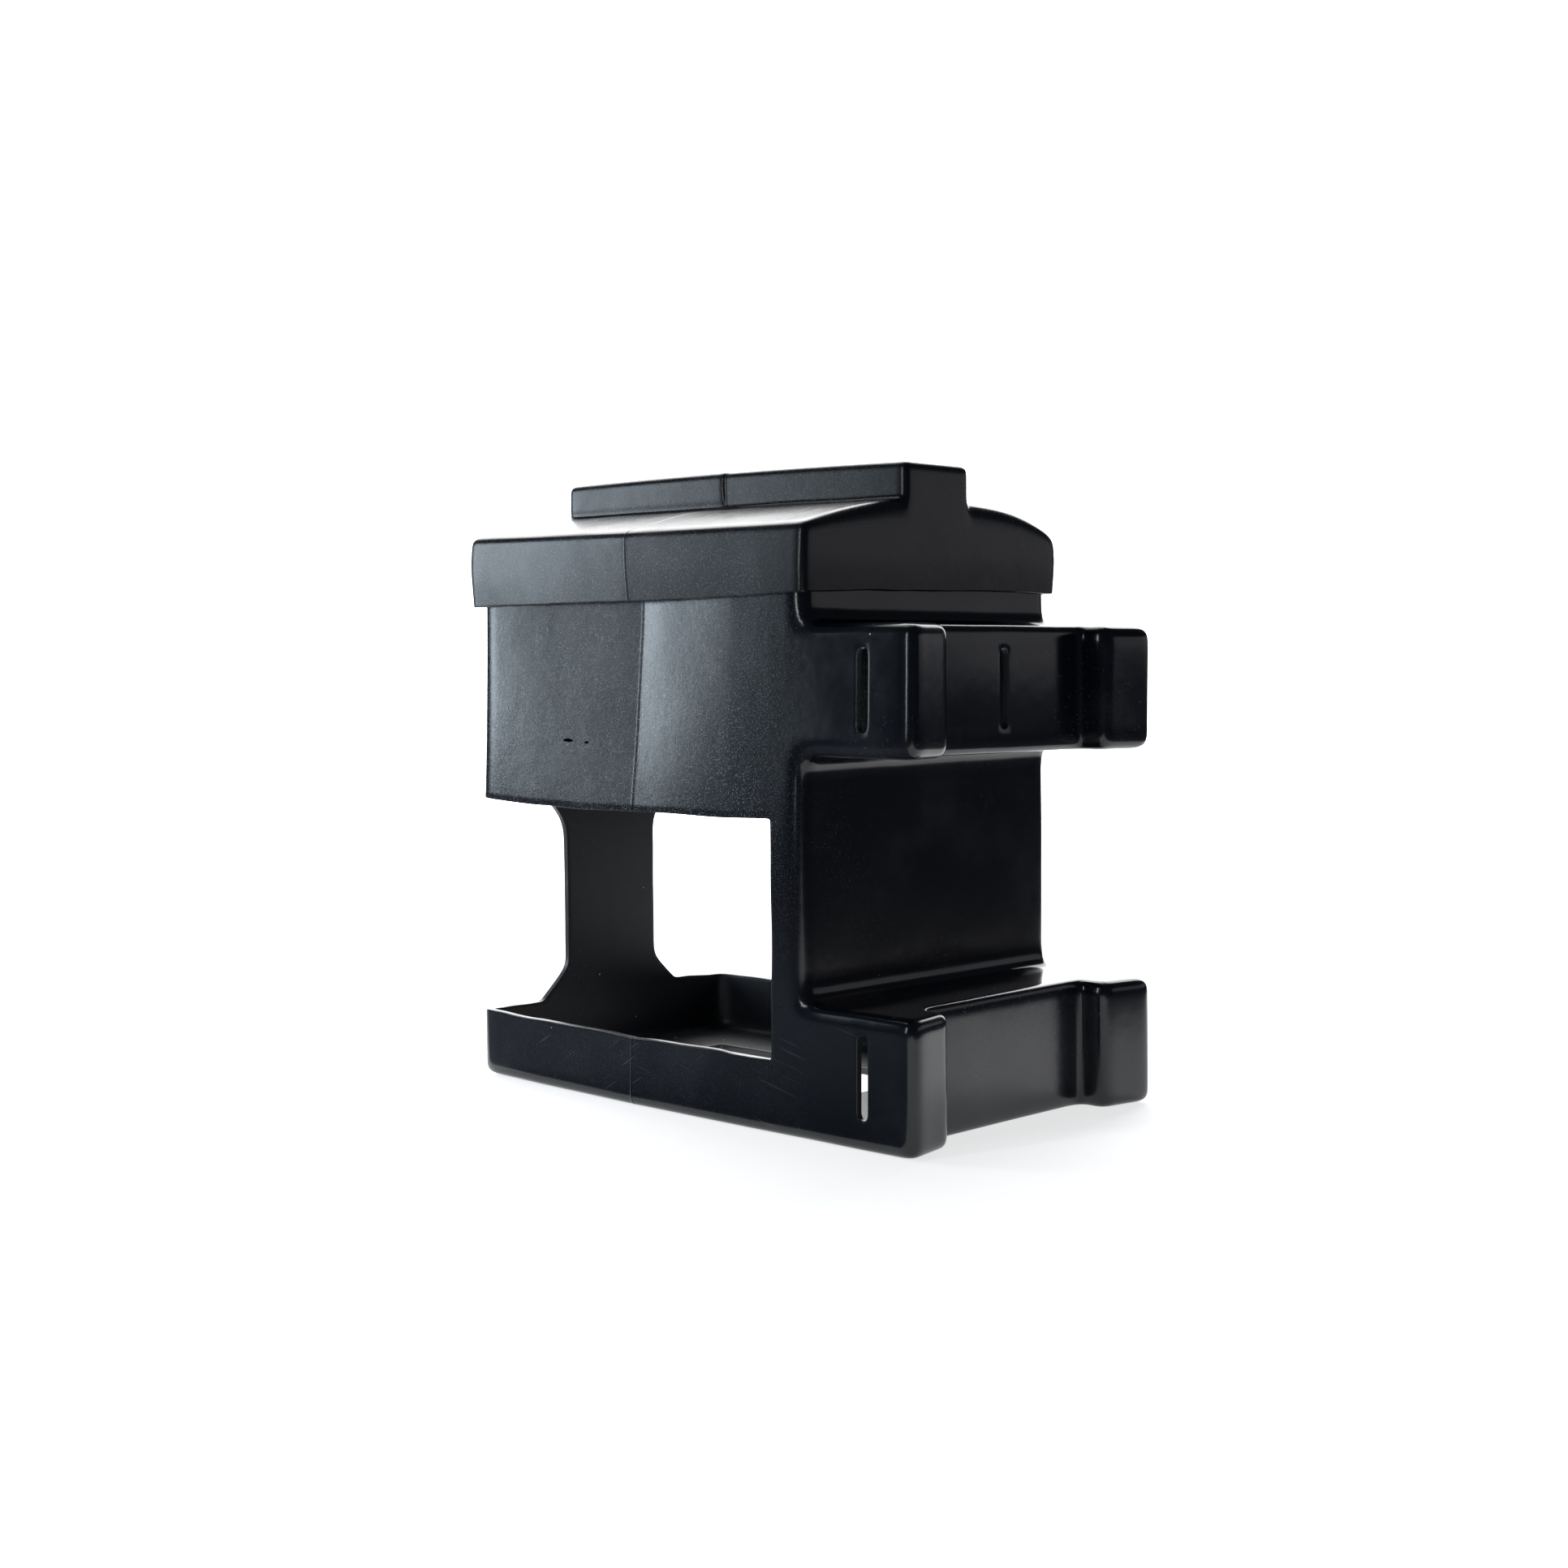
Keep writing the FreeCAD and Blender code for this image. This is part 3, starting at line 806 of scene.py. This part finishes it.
def stage_plane(name, size, location, rotation, glow, pool):
    """A pale sheet. With pool, it is white and glowing along the camera's line of sight, with painted grey
    shade and no glow at the sides.
    """
    bpy.ops.mesh.primitive_plane_add(size=1, location=location, rotation=rotation)
    made = bpy.context.object
    made.name = name
    made.scale = (size[0], size[1], 1)
    material = bpy.data.materials.new(name)
    material.use_nodes = True
    tree = material.node_tree
    shader = tree.nodes["Principled BSDF"]
    shader.inputs["Roughness"].default_value = 0.9
    shader.inputs["Specular IOR Level"].default_value = 0.1
    shader.inputs["Emission Color"].default_value = WHITE
    shader.inputs["Emission Strength"].default_value = glow
    shader.inputs["Base Color"].default_value = PAPER
    if pool:
        place = tree.nodes.new("ShaderNodeNewGeometry").outputs["Position"]
        spans = []
        for way in (RIGHT, AHEAD):
            dot = node(tree, "ShaderNodeVectorMath", operation="DOT_PRODUCT")
            dot.inputs[1].default_value = way
            tree.links.new(place, dot.inputs[0])
            spans.append(dot.outputs["Value"])
        reach = math_node(tree, "ADD", math_node(tree, "MULTIPLY", spans[1], POOL_SPREAD), POOL_HALF)
        over = math_node(tree, "SUBTRACT", math_node(tree, "ABSOLUTE", spans[0]), reach)
        # painted shade: the floor turns grey and stops glowing outside the camera's line of sight
        painted_shade_fall = band(tree, over, 0.0, POOL_EDGE)
        tree.links.new(mix_colour(tree, painted_shade_fall, PAPER, SHADE), shader.inputs["Base Color"])
        tree.links.new(mix_colour(tree, painted_shade_fall, WHITE, BLACK), shader.inputs["Emission Color"])
    made.data.materials.append(material)


stage_plane("studio_floor", (7, 7), (0, 0, 0), (0, 0, CAMERA_TURN), 0.72, True)
far = AHEAD * 2.6
stage_plane("white_backdrop", (4.2, 3.6), (far.x, far.y, 1.8), (math.radians(90), 0, CAMERA_TURN), 3.4, False)

# A grey card that only shows in the gloss of the near wall
bpy.ops.mesh.primitive_plane_add(size=1, location=(0.44, -0.3, 0.003))
card = bpy.context.object
card.name = "grey_card_for_reflections"
card.scale = (0.6, 1.0, 1)
card.visible_camera = card.visible_diffuse = card.visible_shadow = False
card_grey = bpy.data.materials.new("grey_card")
card_grey.use_nodes = True
card_shader = card_grey.node_tree.nodes["Principled BSDF"]
card_shader.inputs["Base Color"].default_value = (0.2, 0.22, 0.26, 1)
card_shader.inputs["Roughness"].default_value = 0.9
card.data.materials.append(card_grey)


def softbox(name, offset, height, size, power, colour=(1, 1, 1), aim=0.2):
    """A rectangular light. offset is (to the camera's right, away from the camera) in metres."""
    data = bpy.data.lights.new(name, "AREA")
    data.shape = "RECTANGLE"
    data.size, data.size_y = size
    data.energy = power
    data.color = colour
    made = bpy.data.objects.new(name, data)
    where = RIGHT * offset[0] + AHEAD * offset[1]
    made.location = (where.x, where.y, height)
    made.rotation_euler = (Vector((0, 0, aim)) - made.location).to_track_quat("-Z", "Y").to_euler()
    bpy.context.scene.collection.objects.link(made)


softbox("left_softbox", (-1.45, 0.27), 0.52, (0.28, 0.7), 6.2, (0.78, 0.9, 1.0), 0.3)
softbox("left_soft_panel", (-1.4, -0.12), 0.5, (0.26, 0.7), 0.9, (0.78, 0.9, 1.0), 0.3)
softbox("left_front_strip", (-1.1, -1.0), 0.6, (0.08, 0.8), 3.2, (0.95, 0.97, 1.0), 0.25)
softbox("overhead_softbox", (-0.3, 0.9), 1.9, (1.6, 1.2), 14)
softbox("right_panel", (1.5, 0.1), 0.5, (1.2, 0.42), 0.75, (0.95, 0.93, 0.99), 0.5)

world = bpy.data.worlds.new("studio")
bpy.context.scene.world = world
world.use_nodes = True
world.node_tree.nodes["Background"].inputs["Color"].default_value = (0.62, 0.8, 1.0, 1)
world.node_tree.nodes["Background"].inputs["Strength"].default_value = 0.05
bpy.context.scene.view_settings.view_transform = "Standard"

camera_data = bpy.data.cameras.new("camera")
camera_data.lens = 50.93
camera_data.sensor_width = 36
camera_data.shift_y = -0.0825
camera = bpy.data.objects.new("camera", camera_data)
camera.location = (1.1860, 1.1451 - SHIFT / 1000, 0.3160)
camera.rotation_euler = (math.radians(90), 0, CAMERA_TURN)
bpy.context.scene.collection.objects.link(camera)
bpy.context.scene.camera = camera
